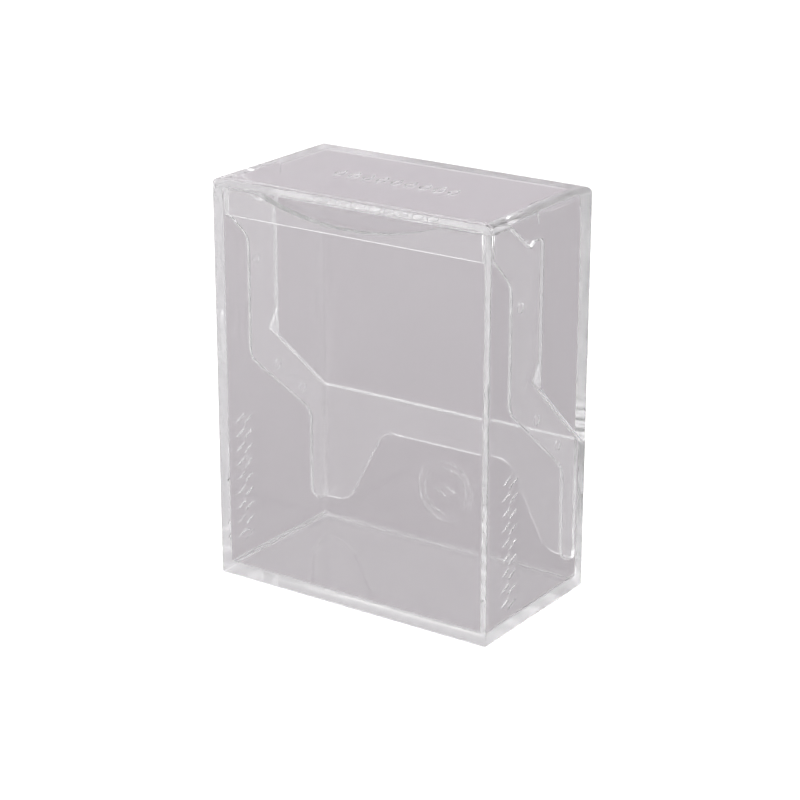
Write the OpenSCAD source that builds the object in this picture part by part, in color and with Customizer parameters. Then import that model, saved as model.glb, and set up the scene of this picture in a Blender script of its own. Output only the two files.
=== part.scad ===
// Clear two-piece deck box for sleeved trading cards.
// The lid's skirt slides inside the tray, and the lid lifts straight up off it.
// Origin at the bottom centre, front towards -Y, +Z up, millimetres.

/* [Outside] */
// Width across the front
box_w = 76.4; // [74:0.1:90]
// Depth from front to back
box_d = 43.4; // [42:0.1:60]
// Height with the lid on
box_h = 99; // [98:0.5:110]
// Radius of the upright edges
edge_r = 0.8; // [0.5:0.1:1.2]

/* [Tray] */
// Thickness of the tray's four walls
wall = 2.2; // [1.8:0.1:2.4]
// Thickness of the tray's floor
floor_t = 2.4; // [2:0.1:3]
// Radius inside the tray's upright corners
inner_r = 0.5; // [0.4:0.1:2]
// Width of the thumb notch in the front rim
notch_w = 52; // [30:1:60]
// Depth of the thumb notch
notch_depth = 5; // [3:0.5:6]

/* [Lid] */
// Thickness of the lid's top plate
plate_t = 2; // [1.8:0.1:2.6]
// Thickness of the lid's skirt
skirt_t = 0.95; // [0.9:0.05:1.2]
// Clearance between the skirt and the tray
fit_gap = 0.15; // [0.1:0.05:0.3]
// Clearance along the visible seam
seam_gap = 0.14; // [0.1:0.02:0.3]
// Rounding of the lid's top edges at the sides and back
crown_r = 2; // [1:0.1:2.4]
// Rounding inside the lid, where its walls meet the top plate
ceiling_r = 1; // [0.5:0.1:1.5]

/* [Ornament] */
// Depth of the engraved ornament
engrave = 0.3; // [0.2:0.05:0.5]
// Lozenges in each row
lozenges = 9; // [5:2:11]
// Width of a lozenge's engraved outline
line_w = 0.55; // [0.4:0.05:0.8]

/* [Hidden] */
$fn = 64;

past = 1;                       // how far a cutting shape runs past what it cuts
rim_z = box_h - plate_t;        // the tray's front rim, under the lid's plate
skirt_out = wall + fit_gap;     // from the outside faces to the skirt's outer face
lid_wall = skirt_out + skirt_t; // from the outside faces to the skirt's inner face
front_y = -box_d / 2;
back_y = box_d / 2;
side_x = box_w / 2;
base_r = 0.8;                   // rounding around the underside
floor_r = 1.2;                  // rounding inside, around the floor

// Side view of the seam, as [y, z, corner radius], from the back wall up to the front rim.
seam_back_z = 37.5;
seam_slope = [
    [back_y + past, seam_back_z, 0],
    [back_y - wall, seam_back_z, 1]
];
seam_upright = [
    [0, 91.6, 1.6],
    [-3.4, 91.6, 0.8],
    [-5.1, 90.3, 0.6],
    [-13.6, rim_z, 1.6],
    [front_y - past, rim_z, 0]
];
// The tray's edge jogs forward below its upright stretch.
// The lid's edge runs straight down there, so that the lid lifts clear.
tray_seam = concat(seam_slope, [[-2.5, 58.3, 0.5], [0, 62.5, 1.5]], seam_upright);
lid_seam = concat(seam_slope, [[0, 56, 1]], seam_upright);

// Side view of the lid's skirt, as [y, z, corner radius], from the front to the back legs.
leg_z = 7.8;
skirt_edge = [
    [front_y - past, 90, 0],
    [-18.2, 90, 3.5],
    [-11.2, 83, 6],
    [-11.2, 53.2, 6],
    [12.7, 32.8, 6],
    [12.7, leg_z, 5.2],
    [back_y + past, leg_z, 0]
];

// A low band thickens the lid's walls below the ceiling, with a ramp at its lower edge.
band_z = 94.1;
band_t = 0.4;
band_rise = 0.6;

// Back view of the gap between the two legs: half of it, as [x, z, corner radius].
gap_top_z = 28.7;
leg_gap = [
    [side_x + past, leg_z, 0],
    [28, leg_z, 6],
    [17.3, gap_top_z, 5]
];

// Catch points on each side wall, as [y, z].
catches = [[-7.9, 77.2], [0.1, 48.5], [9.7, 39.4]];
nub_r = 1;
nub_h = 0.1;
dimple_r = 1.3;
dimple_h = 0.4;

// The rows of lozenges: a lozenge's size across and along its row, and the rows' lengths.
lozenge_across = 6.2;
lozenge_along = 3.1;
side_row_y = -12;
side_row_z = 22.6;
side_row_l = 33;
top_row_y = -2;
top_row_l = 34.5;

// The ring ornament low on the tray's back wall.
rings_z = 16.4;
ring_radii = [8, 6.4];

function unit(v) = v / norm(v);

// The arc that rounds the corner at p, between its neighbours a and b.
function corner_arc(a, p, b, r) =
    let (
        steps = r < 4 ? 6 : 8,
        u = unit(a - p),
        v = unit(b - p),
        half = acos(u * v) / 2,
        centre = p + unit(u + v) * r / sin(half),
        from = p + u * r / tan(half) - centre,
        to = p + v * r / tan(half) - centre,
        start = atan2(from[1], from[0]),
        turn = atan2(to[1], to[0]) - start,
        sweep = turn > 180 ? turn - 360 : turn < -180 ? turn + 360 : turn
    )
    [for (i = [0:steps]) centre + r * [cos(start + sweep * i / steps), sin(start + sweep * i / steps)]];

function flat_point(p) = [p[0], p[1]];

// An outline's points with each corner rounded by its own radius.
function rounded(path) = [
    for (i = [0:len(path) - 1])
        each path[i][2] == 0 || i == 0 || i == len(path) - 1
            ? [flat_point(path[i])]
            : corner_arc(flat_point(path[i - 1]), flat_point(path[i]), flat_point(path[i + 1]), path[i][2])
];

// Extrudes a drawing of (y, z) through the whole width.
module across_x() {
    rotate([90, 0, 90]) linear_extrude(box_w + 2 * past, center = true) children();
}

// Extrudes a drawing of (x, z) through the whole depth.
module across_y() {
    rotate([90, 0, 0]) linear_extrude(box_d + 2 * past, center = true) children();
}

module rounded_rect(w, d, r) {
    square([w - 2 * r, d], center = true);
    square([w, d - 2 * r], center = true);
    for (sx = [-1, 1], sy = [-1, 1])
        translate([sx * (w / 2 - r), sy * (d / 2 - r)]) circle(r);
}

// What lies outside a quarter round of radius r whose square corner is at the origin.
module corner_waste(r) {
    translate([-r, -r]) difference() {
        square(r + past);
        circle(r);
    }
}

// An upright profile of length l from low to high, rounded below and above.
// top_left and top_right say which of the upper corners are rounded.
module profile(l, low, high, low_r, high_r, top_left = true, top_right = true) {
    difference() {
        translate([-l / 2, low]) square([l, high - low]);
        for (side = [-1, 1]) {
            if (low_r > 0)
                scale([side, -1]) translate([l / 2, -low]) corner_waste(low_r);
            if (high_r > 0 && (side < 0 ? top_left : top_right))
                scale([side, 1]) translate([l / 2, high]) corner_waste(high_r);
        }
    }
}

// A block standing from low to high, with its edges rounded.
module block(w, d, low, high, r, low_r, high_r, front_top = true) {
    intersection() {
        translate([0, 0, low]) linear_extrude(high - low) rounded_rect(w, d, r);
        across_y() profile(w, low, high, low_r, high_r);
        across_x() profile(d, low, high, low_r, high_r, top_left = front_top);
    }
}

// Everything below an edge in side view.
module below(edge) {
    polygon(concat(rounded(edge), [[front_y - past, -past], [back_y + past, -past]]));
}

// What the lid's outer walls leave out for the tray, with clearance along the seam.
module seam_clearance() {
    intersection() {
        translate([seam_gap, seam_gap]) below(lid_seam);
        translate([front_y - past, -past]) square([box_d + 2 * past, rim_z + past]);
    }
}

// Everything above the skirt's lower edge in side view.
module above_skirt_edge() {
    polygon(concat(rounded(skirt_edge), [[back_y + past, rim_z], [front_y - past, rim_z]]));
}

module leg_gap_shape() {
    right = rounded(concat(leg_gap, [[0, gap_top_z, 0]]));
    for (side = [-1, 1])
        scale([side, 1]) polygon(concat(right, [[0, -past], [side_x + past, -past]]));
}

module lozenge(across, along) {
    polygon([[across / 2, 0], [0, along / 2], [-across / 2, 0], [0, -along / 2]]);
}

module lozenge_outline() {
    difference() {
        lozenge(lozenge_across, lozenge_along);
        lozenge(lozenge_across - 2.6 * line_w, lozenge_along - 2.6 * line_w);
    }
}

// A row of lozenge outlines along Y, as long as l, centred.
module lozenge_row(l) {
    pitch = (l - lozenge_along) / (lozenges - 1);
    for (i = [0:lozenges - 1])
        translate([0, i * pitch - (l - lozenge_along) / 2]) lozenge_outline();
}

// A round pad of radius r, from root below the origin to h above it along +X.
module pad(r, h, root) {
    translate([-root, 0, 0]) rotate([0, 90, 0]) cylinder(r = r, h = h + root);
}

module at_catches(x) {
    for (side = [-1, 1], at = catches)
        scale([side, 1, 1]) translate([x, at[0], at[1]]) children();
}

module thumb_notch() {
    notch_r = (notch_w * notch_w / 4 + notch_depth * notch_depth) / (2 * notch_depth);
    translate([0, front_y - past, rim_z - notch_depth + notch_r])
        rotate([-90, 0, 0]) cylinder(r = notch_r, h = wall + 2 * past, $fn = 360);
}

module side_rows() {
    for (side = [-1, 1])
        scale([side, 1, 1]) translate([side_x - engrave, side_row_y, side_row_z])
            rotate([90, 0, 90]) linear_extrude(engrave + past) lozenge_row(side_row_l);
}

module back_rings() {
    translate([0, back_y + past, rings_z]) rotate([90, 0, 0]) linear_extrude(engrave + past) {
        for (r = ring_radii)
            difference() {
                circle(r);
                circle(r - line_w);
            }
        lozenge_outline();
    }
}

module tray() {
    color([0.76, 0.74, 0.76, 0.35]) difference() {
        intersection() {
            block(box_w, box_d, 0, rim_z, edge_r, base_r, 0);
            across_x() below(tray_seam);
        }
        block(box_w - 2 * wall, box_d - 2 * wall, floor_t, box_h, inner_r, floor_r, 0);
        thumb_notch();
        side_rows();
        back_rings();
        at_catches(side_x - wall) pad(dimple_r, dimple_h, past);
    }
}

// An upright profile of length l below the lid's ceiling, with the band at both ends.
module headroom(l) {
    half = [
        [l / 2, -past, 0],
        [l / 2, band_z, 0],
        [l / 2 - band_t, band_z + band_rise, 0],
        [l / 2 - band_t, rim_z, ceiling_r],
        [0, rim_z, 0]
    ];
    for (side = [-1, 1])
        scale([side, 1]) polygon(concat(rounded(half), [[0, -past]]));
}

// The space inside the lid. The band runs only behind the seam's upright stretch.
module lid_space() {
    w = box_w - 2 * lid_wall;
    d = box_d - 2 * lid_wall;
    intersection() {
        translate([0, 0, -past]) linear_extrude(rim_z + past) rounded_rect(w, d, inner_r - 0.2);
        union() {
            intersection() {
                across_y() headroom(w);
                across_x() headroom(d);
            }
            translate([-side_x, front_y, -past]) cube([box_w, box_d / 2, box_h]);
        }
    }
}

module skirt() {
    difference() {
        intersection() {
            block(box_w - 2 * skirt_out, box_d - 2 * skirt_out, 0, rim_z + past / 10, inner_r - 0.1, 0, 0);
            across_x() above_skirt_edge();
        }
        across_y() leg_gap_shape();
    }
    at_catches(side_x - skirt_out) pad(nub_r, nub_h, skirt_t / 2);
}

module lid() {
    color([0.80, 0.78, 0.80, 0.35]) difference() {
        union() {
            difference() {
                block(box_w, box_d, 0, box_h, edge_r, 0, crown_r, front_top = false);
                across_x() seam_clearance();
            }
            skirt();
        }
        lid_space();
        translate([0, top_row_y, box_h - engrave]) rotate([0, 0, 90])
            linear_extrude(engrave + past) lozenge_row(top_row_l);
    }
}

tray();
lid();
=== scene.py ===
import math

import bmesh
import bpy
from mathutils import Matrix, Vector


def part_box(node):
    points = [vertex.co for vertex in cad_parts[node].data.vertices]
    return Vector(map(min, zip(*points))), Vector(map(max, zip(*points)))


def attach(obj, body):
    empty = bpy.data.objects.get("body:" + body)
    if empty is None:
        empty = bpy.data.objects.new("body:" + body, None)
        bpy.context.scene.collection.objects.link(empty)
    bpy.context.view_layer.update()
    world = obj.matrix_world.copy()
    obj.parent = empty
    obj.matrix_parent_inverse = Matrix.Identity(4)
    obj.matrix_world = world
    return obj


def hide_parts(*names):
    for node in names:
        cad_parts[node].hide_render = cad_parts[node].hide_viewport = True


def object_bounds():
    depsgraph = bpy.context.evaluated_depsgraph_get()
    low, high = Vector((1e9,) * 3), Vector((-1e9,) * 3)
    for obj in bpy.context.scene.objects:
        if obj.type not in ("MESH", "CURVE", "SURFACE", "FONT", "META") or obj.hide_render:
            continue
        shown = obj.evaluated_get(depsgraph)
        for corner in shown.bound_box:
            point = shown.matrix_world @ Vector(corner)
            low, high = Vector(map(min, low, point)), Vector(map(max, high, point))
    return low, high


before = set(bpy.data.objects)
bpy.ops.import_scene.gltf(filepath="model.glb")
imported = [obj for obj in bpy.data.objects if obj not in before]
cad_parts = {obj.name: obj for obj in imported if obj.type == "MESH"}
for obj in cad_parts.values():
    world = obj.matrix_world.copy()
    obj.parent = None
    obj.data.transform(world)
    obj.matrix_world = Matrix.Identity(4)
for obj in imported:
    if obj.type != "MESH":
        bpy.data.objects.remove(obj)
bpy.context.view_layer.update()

MM = 0.001
scene = bpy.context.scene
low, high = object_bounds()

# ---------------------------------------------------------------- mouldings

SHARP_EDGE = 0.28 * MM   # rounding of the mouldings' sharp edges
SKIRT_EDGE = 0.42 * MM   # rounding of the skirt's edges
LEAST_ANGLE = 34         # edges that turn less than this, in degrees, aren't rounded
SMOOTH_ANGLE = 26        # edges that turn more than this, in degrees, shade as sharp
MERGE = 0.06 * MM        # vertices closer than this are one
TRAY_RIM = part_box("tray")[1][2]
RIM_GAP = 0.06 * MM      # air between the tray's rim and the lid's plate, so that light tells them apart
SKIRT_FRONT_Z = 90       # height of the skirt's front edge, in millimetres
CUTS = ((0, 33.2), (1, 16.8))   # axis and distance of the cuts near the corners, in millimetres

# Boxes as ranges of |x|, y and z in millimetres.
SIDE_ORNAMENT = ((37.7, 40), (-15.4, -8.6), (5, 40.5))
BACK_ORNAMENT = ((0, 9), (21.2, 23), (7.5, 25.5))
TOP_ORNAMENT = ((0, 18), (-5.4, 1.4), (98.5, 100))
SKIRT = ((0, 35.95), (-19.45, 19.45), (0, 90.1))
SKIRT_FRONT = ((0, 40), (-22, -18.05), (89.5, 90))
THUMB_NOTCH = ((0, 26.2), (-22, -19), (91, 96.9))
BACK_SEAM = ((0, 40), (19.3, 20.3), (37, 38.5))
CEILING_FRONT = ((33.4, 34.9), (-0.1, 0.1), (95.9, 97.5))   # the front end of the ceiling's rounding

# The catch points on each side wall, as y and z, with their reach around it.
CATCHES = ((-7.9, 77.2), (0.1, 48.5), (9.7, 39.4))
CATCH_X = (35.2, 36.7)
CATCH_REACH = 1.6


def inside(point, box):
    """True if a point in millimetres is in a box, on the left or the right side."""
    x, y, z = point
    return all(start <= value < end for value, (start, end) in zip((abs(x), y, z), box))


def small_detail(point):
    """True on the engraved ornament and the catch points, whose edges stay crisp."""
    x, y, z = point
    if any(inside(point, box) for box in (SIDE_ORNAMENT, BACK_ORNAMENT, TOP_ORNAMENT)):
        return True
    on_skirt_face = CATCH_X[0] < abs(x) < CATCH_X[1]
    return on_skirt_face and any(math.hypot(y - cy, z - cz) < CATCH_REACH for cy, cz in CATCHES)


def edge_radius(node, edge):
    """How far an edge is rounded, in metres, or 0."""
    if not edge.is_manifold or not edge.is_convex:
        return 0
    if edge.calc_face_angle(0) < math.radians(LEAST_ANGLE):
        return 0
    if all(small_detail(v.co / MM) for v in edge.verts):
        return 0
    middle = (edge.verts[0].co + edge.verts[1].co) / 2 / MM
    if node == "lid":
        if inside(middle, SKIRT):
            return SKIRT_EDGE
        # The ceiling's rounding runs out too thin at its front end for a rounded edge.
        if inside(middle, CEILING_FRONT):
            return 0
    if node == "tray" and (inside(middle, THUMB_NOTCH) or inside(middle, BACK_SEAM)):
        return 0
    return SHARP_EDGE


def make_room(bm, node):
    """Lowers the tray's rim a little, and levels the front of the lid's skirt, to have room to round it."""
    for v in bm.verts:
        if node == "tray" and v.co.z > TRAY_RIM - 0.01 * MM:
            v.co.z -= RIM_GAP
        if node == "lid" and inside(v.co / MM, SKIRT_FRONT):
            v.co.z = SKIRT_FRONT_Z * MM


def cut_near_corners(bm):
    """Cuts that keep each corner's shading out of the long faces."""
    for axis, distance in CUTS:
        for side in (-1, 1):
            normal = Vector([side if i == axis else 0 for i in range(3)])
            bmesh.ops.bisect_plane(
                bm,
                geom=bm.verts[:] + bm.edges[:] + bm.faces[:],
                plane_co=normal * distance * MM,
                plane_no=normal,
                dist=0.001 * MM,
            )


def round_edges(bm, node):
    for radius in (SKIRT_EDGE, SHARP_EDGE):
        bmesh.ops.bevel(
            bm,
            geom=[e for e in bm.edges if edge_radius(node, e) == radius],
            offset=radius,
            offset_type="OFFSET",
            segments=3,
            profile=0.5,
            affect="EDGES",
            clamp_overlap=False,
        )
    bmesh.ops.remove_doubles(bm, verts=bm.verts, dist=0.004 * MM)


def moulding(node, name):
    """A copy of a CAD node with its flat faces merged and its sharp edges rounded."""
    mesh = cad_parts[node].data.copy()
    mesh.name = name
    mesh.materials.clear()
    bm = bmesh.new()
    bm.from_mesh(mesh)
    make_room(bm, node)
    bmesh.ops.remove_doubles(bm, verts=bm.verts, dist=MERGE)
    bmesh.ops.dissolve_limit(bm, angle_limit=math.radians(0.3), verts=bm.verts, edges=bm.edges)
    bmesh.ops.recalc_face_normals(bm, faces=bm.faces)
    cut_near_corners(bm)
    round_edges(bm, node)
    bm.to_mesh(mesh)
    bm.free()
    ob = bpy.data.objects.new(name, mesh)
    scene.collection.objects.link(ob)
    for f in mesh.polygons:
        f.use_smooth = True
    mesh.set_sharp_from_angle(angle=math.radians(SMOOTH_ANGLE))
    weighted = ob.modifiers.new("Even normals", "WEIGHTED_NORMAL")
    weighted.mode = "FACE_AREA"
    weighted.keep_sharp = True
    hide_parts(node)
    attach(ob, node)
    return ob


# ---------------------------------------------------------------- node helpers

def node_tree(owner):
    """The empty node tree of a material or a world."""
    owner.use_nodes = True
    owner.node_tree.nodes.clear()
    return owner.node_tree


def add(nt, kind, **settings):
    """A new node; each setting is a property or, where there is none by that name, a socket."""
    node = nt.nodes.new(kind)
    for name, value in settings.items():
        if hasattr(node, name):
            setattr(node, name, value)
        else:
            node.inputs[name.replace("_", " ")].default_value = value
    return node


def math_node(nt, operation, *values):
    """The result of a calculation with numbers or sockets."""
    node = add(nt, "ShaderNodeMath", operation=operation)
    for socket, value in zip(node.inputs, values):
        if isinstance(value, (int, float)):
            socket.default_value = value
        else:
            nt.links.new(value, socket)
    return node.outputs[0]


def map_range(nt, value, start, end, to_start=0.0, to_end=1.0, kind="LINEAR"):
    """A value carried over from one range to another, and held at its ends."""
    node = add(nt, "ShaderNodeMapRange", interpolation_type=kind, From_Min=start, From_Max=end)
    node.inputs["To Min"].default_value = to_start
    node.inputs["To Max"].default_value = to_end
    nt.links.new(value, node.inputs["Value"])
    return node.outputs[0]


def soft_step(nt, value, start, end):
    """From 0 at start to 1 at end, smoothly."""
    return map_range(nt, value, start, end, kind="SMOOTHSTEP")


def mix_colour(nt, factor, a, b):
    """Colour a where the factor is 0 and b where it is 1; each is a colour or a socket."""
    node = add(nt, "ShaderNodeMix", data_type="RGBA")
    nt.links.new(factor, node.inputs[0])
    for socket, value in ((node.inputs[6], a), (node.inputs[7], b)):
        if isinstance(value, tuple):
            socket.default_value = (*value, 1)
        else:
            nt.links.new(value, socket)
    return node.outputs[2]


def noise(nt, vector, scale, detail, roughness):
    node = add(nt, "ShaderNodeTexNoise", Scale=scale, Detail=detail, Roughness=roughness)
    nt.links.new(vector, node.inputs["Vector"])
    return node.outputs["Fac"]


def separate(nt, vector):
    node = add(nt, "ShaderNodeSeparateXYZ")
    nt.links.new(vector, node.inputs[0])
    return node.outputs


# ---------------------------------------------------------------- clear plastic

INDEX = 1.57
CLARITY = 0.978                          # the rest scatters, as a slight haze
TINT = (0.9985, 0.9972, 0.9985)
POLISHED, RUBBED = 0.05, 0.095           # roughness between and on the rub marks
UNPOLISHED_BELOW = 0.060                 # height of the lid's lower edges, in metres


def slow_tone(nt, vector):
    """Slow changes of tone, as in any moulding."""
    ramp = add(nt, "ShaderNodeValToRGB")
    darker, lighter = ramp.color_ramp.elements
    darker.position, lighter.position = 0.3, 0.7
    darker.color = (*[c * 0.995 for c in TINT], 1)
    lighter.color = (*TINT, 1)
    slow = noise(nt, vector, scale=34.0, detail=3.0, roughness=0.55)
    nt.links.new(slow, ramp.inputs["Fac"])
    return ramp.outputs["Color"]


def rub_marks(nt, vector):
    """Fine rub marks: long thin noise, at two angles."""
    marks = []
    for turn, scale in ((0.5, (900, 60, 60)), (-0.9, (60, 60, 1100))):
        lay = add(nt, "ShaderNodeMapping", Rotation=(turn, turn * 0.7, turn * 1.3), Scale=scale)
        nt.links.new(vector, lay.inputs["Vector"])
        lines = noise(nt, lay.outputs[0], scale=1.0, detail=2.0, roughness=0.5)
        marks.append(map_range(nt, lines, 0.66, 0.80))
    return map_range(nt, math_node(nt, "MAXIMUM", *marks), 0.0, 1.0, POLISHED, RUBBED)


def lower_edges(nt, place):
    """1 on the faces that look down at the lid's lower edges, which aren't polished."""
    geometry = add(nt, "ShaderNodeNewGeometry")
    normal_z = separate(nt, geometry.outputs["True Normal"])["Z"]
    looks_down = map_range(nt, normal_z, -0.3, -0.6)
    is_low = map_range(nt, separate(nt, place)["Z"], UNPOLISHED_BELOW + 0.002, UNPOLISHED_BELOW - 0.002)
    return math_node(nt, "MULTIPLY", looks_down, is_low)


def mould_surface(nt, vector):
    """The mould's slight waviness and fine skin."""
    wave = add(nt, "ShaderNodeBump", Strength=0.08, Distance=0.00015)
    skin = add(nt, "ShaderNodeBump", Strength=0.03, Distance=0.00002)
    waves = noise(nt, vector, scale=70.0, detail=1.0, roughness=0.4)
    grain = noise(nt, vector, scale=900.0, detail=2.0, roughness=0.5)
    nt.links.new(waves, wave.inputs["Height"])
    nt.links.new(grain, skin.inputs["Height"])
    nt.links.new(wave.outputs["Normal"], skin.inputs["Normal"])
    return skin.outputs["Normal"]


def clear_plastic(name, seed, edge_roughness=0.0):
    """Polished clear plastic, whose lower edges have some more roughness."""
    mat = bpy.data.materials.new(name)
    nt = node_tree(mat)
    bsdf = add(nt, "ShaderNodeBsdfPrincipled", IOR=INDEX, Transmission_Weight=CLARITY)
    coords = add(nt, "ShaderNodeTexCoord").outputs["Object"]
    shift = add(nt, "ShaderNodeMapping", Location=(seed * 0.37, seed * 0.11, seed * 0.23))
    nt.links.new(coords, shift.inputs["Vector"])
    vector = shift.outputs[0]
    rough = math_node(nt, "MULTIPLY_ADD", lower_edges(nt, coords), edge_roughness, rub_marks(nt, vector))
    nt.links.new(slow_tone(nt, vector), bsdf.inputs["Base Color"])
    nt.links.new(rough, bsdf.inputs["Roughness"])
    nt.links.new(mould_surface(nt, vector), bsdf.inputs["Normal"])
    out = add(nt, "ShaderNodeOutputMaterial")
    nt.links.new(bsdf.outputs[0], out.inputs["Surface"])
    return mat


tray = moulding("tray", "tray_shell")
lid = moulding("lid", "lid_shell")
tray.data.materials.append(clear_plastic("clear_plastic_tray", 1.0))
lid.data.materials.append(clear_plastic("clear_plastic_lid", 2.0, edge_roughness=0.35))


# ---------------------------------------------------------------- studio

BACKDROP = (1.05, 1.05, 1.05)        # seen directly
FLOOR_LIGHT = (1.18, 1.18, 1.18)     # what lights rough surfaces
STRAIGHT = (0.442, 0.407, 0.435)     # seen straight through the plastic
STRAIGHT_LOW = (0.408, 0.374, 0.400)
GLOW = (1.05, 1.03, 1.05)            # seen through it, bent upwards
AROUND = (0.575, 0.560, 0.578)       # mirrored inside it, from the sides
ABOVE = (1.10, 1.09, 1.10)           # mirrored inside it, from overhead
MIRRORED = (0.95, 0.94, 0.95)        # mirrored on the outside
MIRRORED_LOW = (0.35, 0.34, 0.35)
MIRRORED_TOP = (0.64, 0.57, 0.63)
MIRRORED_SIDE = (0.21, 0.20, 0.21)   # a dark flag to the right, which darkens the side wall
BEHIND = (0.30, 0.285, 0.30)         # a dark flag behind the box, which draws its outline
BEHIND_HEADING = (-0.566, 0.824, 0)   # away from the photograph's camera
SIDE_HEADING = (0.566, 0.824, 0)


def studio():
    """A world whose tone depends on how a ray reached it: directly, through the plastic or mirrored."""
    world = bpy.data.worlds.new("studio")
    scene.world = world
    nt = node_tree(world)
    direction = separate(nt, add(nt, "ShaderNodeTexCoord").outputs["Generated"])
    up = direction["Z"]
    level = add(nt, "ShaderNodeCombineXYZ")
    nt.links.new(direction["X"], level.inputs["X"])
    nt.links.new(direction["Y"], level.inputs["Y"])
    heading = add(nt, "ShaderNodeVectorMath", operation="NORMALIZE")
    nt.links.new(level.outputs[0], heading.inputs[0])

    def towards(way):
        """How closely the heading follows a way, from -1 to 1."""
        node = add(nt, "ShaderNodeVectorMath", operation="DOT_PRODUCT")
        nt.links.new(heading.outputs[0], node.inputs[0])
        node.inputs[1].default_value = way
        return node.outputs["Value"]

    flag_behind = math_node(
        nt, "MULTIPLY",
        soft_step(nt, towards(BEHIND_HEADING), 0.92, 0.995),
        soft_step(nt, up, 0.12, -0.02),
    )
    flag_side = math_node(
        nt, "MULTIPLY",
        soft_step(nt, towards(SIDE_HEADING), 0.75, 0.95),
        soft_step(nt, up, 0.1, -0.1),
    )
    surround = mix_colour(nt, soft_step(nt, up, 0.45, 0.85), AROUND, ABOVE)
    straight = mix_colour(nt, soft_step(nt, up, -0.40, -0.26), STRAIGHT_LOW, STRAIGHT)
    straight = mix_colour(nt, soft_step(nt, up, 0.06, 0.18), straight, GLOW)
    mirrored = mix_colour(nt, soft_step(nt, up, -0.40, -0.24), MIRRORED_LOW, MIRRORED)
    mirrored = mix_colour(nt, soft_step(nt, up, 0.1, 0.3), mirrored, MIRRORED_TOP)
    mirrored = mix_colour(nt, flag_behind, mirrored, BEHIND)
    mirrored = mix_colour(nt, flag_side, mirrored, MIRRORED_SIDE)

    path = add(nt, "ShaderNodeLightPath").outputs
    has_mirrored = math_node(nt, "GREATER_THAN", path["Glossy Depth"], 0.5)
    not_mirrored = math_node(nt, "LESS_THAN", path["Glossy Depth"], 0.5)
    has_entered = math_node(nt, "GREATER_THAN", path["Transmission Depth"], 0.5)
    not_entered = math_node(nt, "LESS_THAN", path["Transmission Depth"], 0.5)
    has_scattered = math_node(nt, "GREATER_THAN", path["Diffuse Depth"], 0.5)
    seen = mix_colour(nt, math_node(nt, "MULTIPLY", not_mirrored, has_entered), surround, straight)
    seen = mix_colour(nt, math_node(nt, "MULTIPLY", has_mirrored, not_entered), seen, mirrored)
    seen = mix_colour(nt, has_scattered, seen, FLOOR_LIGHT)
    seen = mix_colour(nt, path["Is Camera Ray"], seen, BACKDROP)
    back = add(nt, "ShaderNodeBackground")
    nt.links.new(seen, back.inputs["Color"])
    out = add(nt, "ShaderNodeOutputWorld")
    nt.links.new(back.outputs[0], out.inputs["Surface"])
    world.cycles.sampling_method = "NONE"


def pale_floor():
    bpy.ops.mesh.primitive_plane_add(size=14, location=(0, 0, -0.2 * MM))
    floor = bpy.context.object
    floor.name = "floor"
    # The plastic shows the studio's tones in place of the floor.
    floor.visible_glossy = False
    floor.visible_transmission = False
    mat = bpy.data.materials.new("pale_floor")
    nt = node_tree(mat)
    paint = add(nt, "ShaderNodeBsdfDiffuse", Color=(0.95, 0.95, 0.95, 1))
    out = add(nt, "ShaderNodeOutputMaterial")
    nt.links.new(paint.outputs[0], out.inputs["Surface"])
    floor.data.materials.append(mat)


def softbox(name, place, size, power):
    """A soft light that looks at the middle of the box."""
    data = bpy.data.lights.new(name, "AREA")
    data.shape = "RECTANGLE"
    data.size, data.size_y = size
    data.energy = power
    ob = bpy.data.objects.new(name, data)
    scene.collection.objects.link(ob)
    middle = Vector((0, 0, (high - low).z / 2))
    ob.location = place
    ob.rotation_mode = "QUATERNION"
    ob.rotation_quaternion = (middle - Vector(place)).to_track_quat("-Z", "Y")
    ob.visible_camera = False


studio()
pale_floor()
softbox("softbox_top", (0.05, 0.05, 0.75), (0.6, 0.6), 3.0)
softbox("softbox_left", (-0.75, -0.35, 0.45), (0.25, 0.7), 2.0)
softbox("softbox_right", (0.8, 0.25, 0.40), (0.25, 0.7), 2.0)


# ---------------------------------------------------------------- camera

AZIMUTH, ELEVATION, ROLL = (math.radians(angle) for angle in (34.4698, 19.5555, 0.0639))
CAMERA_PLACE = (298.577, -435.319, 233.381)   # in millimetres
FOCAL_LENGTH = 106.76                         # in millimetres, on a sensor 36 mm wide

camera = bpy.data.objects.new("camera", bpy.data.cameras.new("camera"))
scene.collection.objects.link(camera)
camera.data.sensor_width = 36
camera.data.lens = FOCAL_LENGTH
camera.data.clip_start, camera.data.clip_end = 0.01, 50
camera.location = Vector(CAMERA_PLACE) * MM
away = Vector((
    math.sin(AZIMUTH) * math.cos(ELEVATION),
    -math.cos(AZIMUTH) * math.cos(ELEVATION),
    math.sin(ELEVATION),
))
turn = (-away).to_track_quat("-Z", "Y").to_matrix() @ Matrix.Rotation(ROLL, 3, "Z")
camera.rotation_mode = "QUATERNION"
camera.rotation_quaternion = turn.to_quaternion()
scene.camera = camera

scene.view_settings.view_transform = "Standard"
scene.view_settings.look = "None"
scene.cycles.max_bounces = 128
scene.cycles.glossy_bounces = 100
scene.cycles.transmission_bounces = 64
scene.cycles.transparent_max_bounces = 16
scene.cycles.diffuse_bounces = 6
scene.cycles.blur_glossy = 0.0
scene.cycles.sample_clamp_indirect = 6.0
